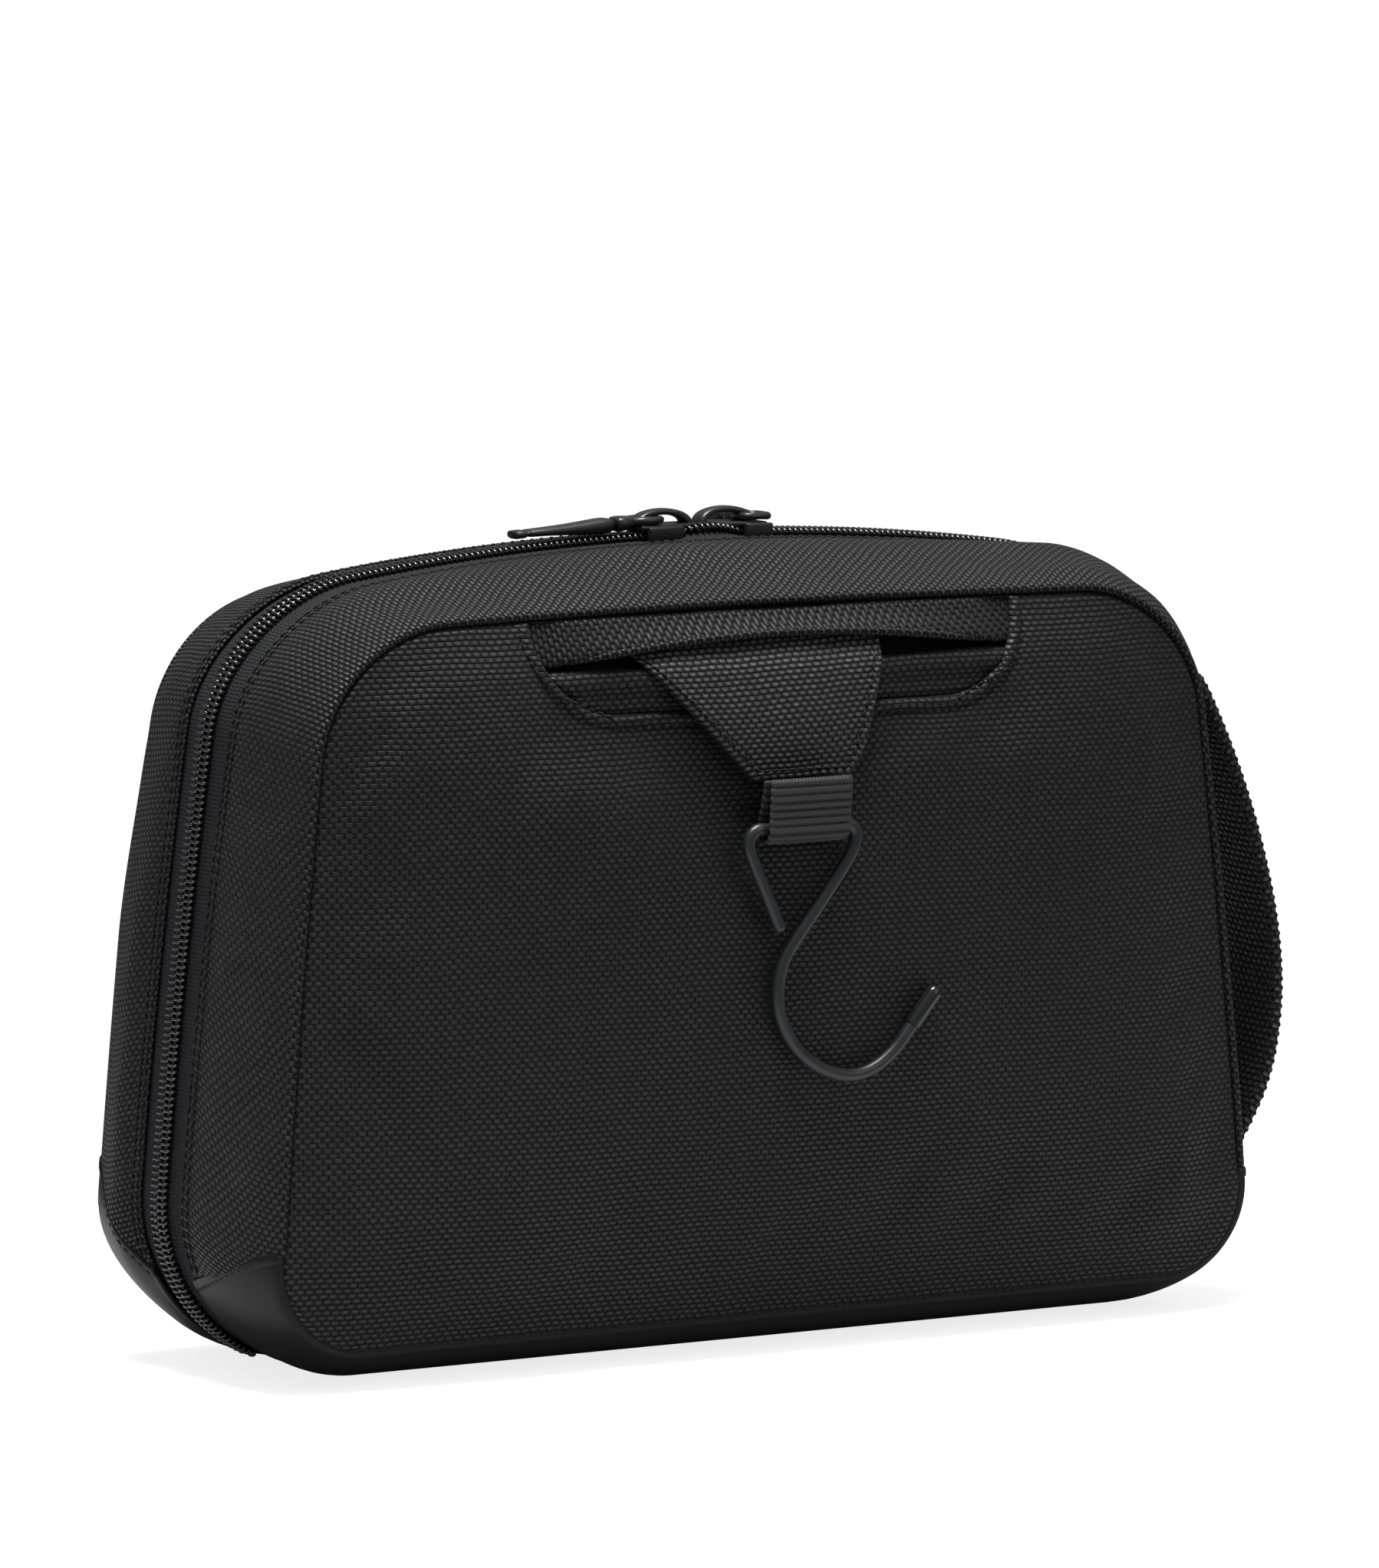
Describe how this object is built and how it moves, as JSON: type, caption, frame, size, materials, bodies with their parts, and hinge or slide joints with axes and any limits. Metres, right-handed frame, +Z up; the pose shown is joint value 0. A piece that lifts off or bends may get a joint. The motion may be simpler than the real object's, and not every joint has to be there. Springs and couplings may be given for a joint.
{
  "type": "hanging toiletry bag",
  "caption": "Padded clamshell toiletry bag that zips over the top and sides, hinges at the bottom, and hangs from a wire hook on a flap.",
  "frame": {"origin": "on the ground plane under the zip line at mid width, on the flat underside of the bottom hinge strip", "axes": "+X to the right seen from the hook side (the bag's longest side), +Z up, the hook-side panel faces -Y"},
  "size_m": [0.288, 0.1001, 0.1921],
  "materials": {
    "ballistic_cloth": "ballistic nylon, basket weave with a faint sheen",
    "coated_base": "smooth coated cloth, satin",
    "zip_tape": "fine woven tape",
    "zip_coil": "nylon coil, glossy",
    "webbing": "ribbed nylon webbing",
    "hook_wire": "satin black coated wire",
    "slider_metal": "black enamel casting",
    "pull_rubber": "moulded, satin",
    "foam": "closed-cell foam",
    "lining": "plain-weave polyester lining",
    "mesh": "knitted mesh"
  },
  "bodies": {
    "hook_half": {"hook_side_panel": "ballistic_cloth", "hook_side_foam": "foam", "hook_side_lining": "lining", "hook_side_gusset": "ballistic_cloth", "hook_side_gusset_lining": "lining", "hook_side_base": "coated_base", "hook_side_base_board": "foam", "hook_side_seam_binding": "webbing", "zip_tape_hook_side": "zip_tape", "zip_coil_hook_side": "zip_coil", "bottom_hinge_strip": "coated_base", "slot_lip": "ballistic_cloth", "slot_welt": "ballistic_cloth", "slot_pouch": "lining", "slot_backing": "lining", "handle_anchor_upper": "webbing", "handle_anchor_lower": "webbing", "slip_pocket_mesh": "mesh", "slip_pocket_elastic": "webbing"},
    "lid": {"lid_panel": "ballistic_cloth", "lid_foam": "foam", "lid_lining": "lining", "lid_gusset": "ballistic_cloth", "lid_gusset_lining": "lining", "lid_base": "coated_base", "lid_seam_binding": "webbing", "zip_tape_lid": "zip_tape", "zip_coil_lid": "zip_coil", "mesh_cover": "mesh", "inner_zip_tape": "zip_tape", "inner_zip_coil": "zip_coil"},
    "hook_flap": {"hook_flap": "ballistic_cloth", "hook_loop": "webbing"},
    "wire_hook": {"wire_hook": "hook_wire", "hook_tip_cap": "pull_rubber"},
    "grab_handle": {"grab_handle": "webbing"},
    "slider_left": {"slider_left": "slider_metal"},
    "pull_link_left": {"pull_link_left": "slider_metal"},
    "pull_tab_left": {"pull_tab_left": "pull_rubber"},
    "slider_right": {"slider_right": "slider_metal"},
    "pull_link_right": {"pull_link_right": "slider_metal"},
    "pull_tab_right": {"pull_tab_right": "pull_rubber"},
    "inner_slider": {"inner_slider": "slider_metal"},
    "inner_slider_pull": {"inner_slider_pull": "slider_metal"}
  },
  "joints": [
    {"name": "lid_hinge", "type": "hinge", "parent": "hook_half", "child": "lid", "pos_m": [0, 0, -0.0005], "axis": [-1, 0, 0], "range_deg": [0, 180]},
    {"name": "hook_flap_hinge", "type": "hinge", "parent": "hook_half", "child": "hook_flap", "pos_m": [0, -0.0496, 0.1636], "axis": [-1, 0, 0], "range_deg": [0, 165]},
    {"name": "wire_hook_swing", "type": "hinge", "parent": "hook_flap", "child": "wire_hook", "pos_m": [0, -0.056, 0.1229], "axis": [-1, 0, 0], "range_deg": [0, 100]},
    {"name": "grab_handle_flop", "type": "hinge", "parent": "hook_half", "child": "grab_handle", "pos_m": [0.1215, -0.025, 0.15], "axis": [-0.139, 0, 0.9903], "range_deg": [-6, 6]},
    {"name": "slider_left_travel", "type": "hinge", "parent": "hook_half", "child": "slider_left", "pos_m": [0, 0, -0.4542], "axis": [0, -1, 0], "range_deg": [0, 6.41]},
    {"name": "pull_link_left_flip", "type": "hinge", "parent": "slider_left", "child": "pull_link_left", "pos_m": [-0.00623, 0, 0.18967], "axis": [0, 1, 0], "range_deg": [0, 85]},
    {"name": "pull_tab_left_swing", "type": "hinge", "parent": "pull_link_left", "child": "pull_tab_left", "pos_m": [-0.01962, 0, 0.18911], "axis": [0, 1, 0], "range_deg": [0, 30]},
    {"name": "slider_right_travel", "type": "hinge", "parent": "lid", "child": "slider_right", "pos_m": [0, 0, -0.4542], "axis": [0, 1, 0], "range_deg": [0, 5.55]},
    {"name": "pull_link_right_flip", "type": "hinge", "parent": "slider_right", "child": "pull_link_right", "pos_m": [0.01963, -0.00335, 0.18942], "axis": [0.9998, 0, -0.0222], "range_deg": [0, 3]},
    {"name": "pull_tab_right_swing", "type": "hinge", "parent": "pull_link_right", "child": "pull_tab_right", "pos_m": [0.01963, 0.01004, 0.18896], "axis": [0.9998, 0, -0.0222], "range_deg": [0, 50]},
    {"name": "inner_slider_travel", "type": "slide", "parent": "lid", "child": "inner_slider", "axis": [1, 0, 0], "range_m": [0, 0.174]},
    {"name": "inner_slider_pull_flip", "type": "hinge", "parent": "inner_slider", "child": "inner_slider_pull", "pos_m": [-0.087, 0.0111, 0.1385], "axis": [-1, 0, 0], "range_deg": [0, 45]}
  ]
}
